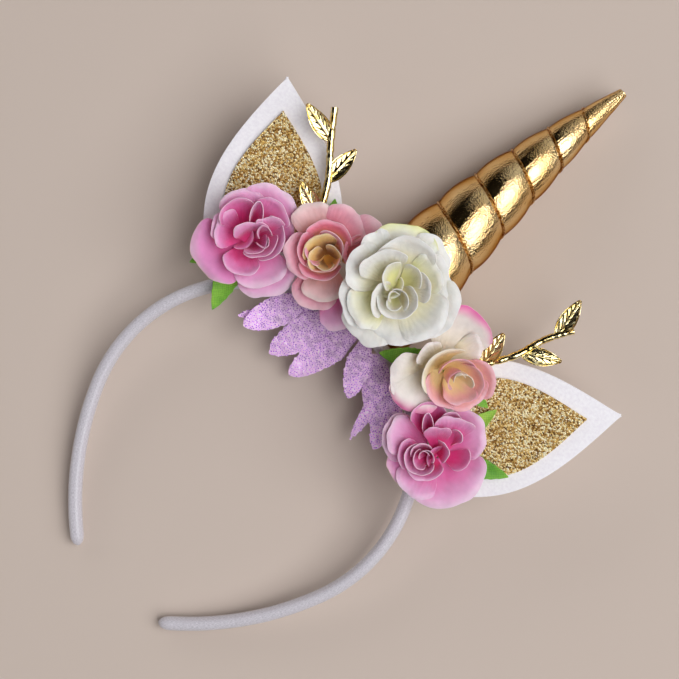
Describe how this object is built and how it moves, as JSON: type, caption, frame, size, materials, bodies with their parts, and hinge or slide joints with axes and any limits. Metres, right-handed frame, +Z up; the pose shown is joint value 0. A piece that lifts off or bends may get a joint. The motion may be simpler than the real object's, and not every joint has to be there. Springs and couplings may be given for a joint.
{
  "type": "unicorn horn headband",
  "caption": "Satin hair band with a bound, stuffed gold horn, felt ears with glitter panels, cloth roses, metal leaf twigs and lilac lace leaves, lying on its back.",
  "frame": {"origin": "on the table under the middle of the headband's box, as it lies on its back", "axes": "+X across the head, +Y from the arms' ends towards the horn's tip, +Z up from the table, which is the front of the worn headband"},
  "size_m": [0.1772, 0.2724, 0.0622],
  "materials": {
    "satin": "satin ribbon wound over a plastic hoop",
    "gold_cloth": "glossy metallised cloth over stuffing",
    "gold_cord": "twisted metallic cord",
    "white_felt": "matt stiffened felt",
    "gold_glitter": "glitter-coated sheet",
    "gold_metal": "polished gold plating on a thin casting",
    "pink_cloth": "dyed petal cloth",
    "blush_cloth": "dyed petal cloth",
    "cream_cloth": "petal cloth",
    "green_cloth": "woven leaf cloth",
    "lilac_lace": "glittery lace"
  },
  "bodies": {
    "root": {"band": "satin", "ear_left": "white_felt", "ear_panel_left": "gold_glitter", "ear_panel_right": "gold_glitter", "ear_right": "white_felt", "horn": "gold_cloth", "horn_cord": "gold_cord", "lace_leaf_1": "lilac_lace", "lace_leaf_2": "lilac_lace", "lace_leaf_3": "lilac_lace", "lace_leaf_4": "lilac_lace", "lace_leaf_5": "lilac_lace", "lace_leaf_6": "lilac_lace", "lace_leaf_7": "lilac_lace", "lace_leaf_8": "lilac_lace", "rose_blush_left_calyx": "green_cloth", "rose_blush_left_heart": "blush_cloth", "rose_blush_left_petals_inner": "blush_cloth", "rose_blush_left_petals_middle": "blush_cloth", "rose_blush_left_petals_outer": "blush_cloth", "rose_blush_right_calyx": "green_cloth", "rose_blush_right_heart": "blush_cloth", "rose_blush_right_petals_inner": "blush_cloth", "rose_blush_right_petals_middle": "blush_cloth", "rose_blush_right_petals_outer": "blush_cloth", "rose_pink_left_calyx": "green_cloth", "rose_pink_left_heart": "pink_cloth", "rose_pink_left_petals_inner": "pink_cloth", "rose_pink_left_petals_middle": "pink_cloth", "rose_pink_left_petals_outer": "pink_cloth", "rose_pink_right_calyx": "green_cloth", "rose_pink_right_heart": "pink_cloth", "rose_pink_right_petals_inner": "pink_cloth", "rose_pink_right_petals_middle": "pink_cloth", "rose_pink_right_petals_outer": "pink_cloth", "rose_white_calyx": "green_cloth", "rose_white_heart": "cream_cloth", "rose_white_petals_inner": "cream_cloth", "rose_white_petals_middle": "cream_cloth", "rose_white_petals_outer": "cream_cloth", "twig_left": "gold_metal", "twig_right": "gold_metal"}
  },
  "joints": []
}
